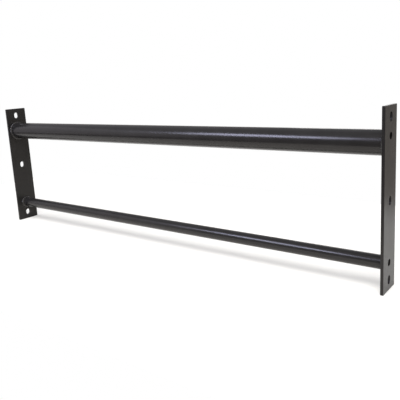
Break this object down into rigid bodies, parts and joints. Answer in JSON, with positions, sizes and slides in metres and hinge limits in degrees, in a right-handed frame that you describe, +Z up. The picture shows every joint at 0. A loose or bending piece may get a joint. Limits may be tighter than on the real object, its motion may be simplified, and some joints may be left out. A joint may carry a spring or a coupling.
{
  "type": "kip bar",
  "caption": "Rigid welded cross-member: a fat grip tube above a parallel skinny tube, between two flat end plates with slotted bolt holes for the uprights of a training rig.",
  "frame": {"origin": "middle of the assembly, halfway between the two plates' outer faces, on the bars' plane and level with the middle bolt slots", "axes": "+X along the bars to the right-hand plate, +Y across the plates' width, +Z up, with the fat bar above the skinny one"},
  "size_m": [1.165, 0.065, 0.352],
  "materials": {
    "plate_coat": "satin black powder coat on flat steel bar",
    "bar_coat": "satin black powder coat on drawn steel tube",
    "weld_coat": "satin black powder coat over a rippled weld bead"
  },
  "bodies": {
    "root": {"left_end_plate": "plate_coat", "right_end_plate": "plate_coat", "fat_bar_tube": "bar_coat", "skinny_bar_tube": "bar_coat", "fat_bar_weld_left": "weld_coat", "fat_bar_weld_right": "weld_coat", "skinny_bar_weld_left": "weld_coat", "skinny_bar_weld_right": "weld_coat"}
  },
  "joints": []
}
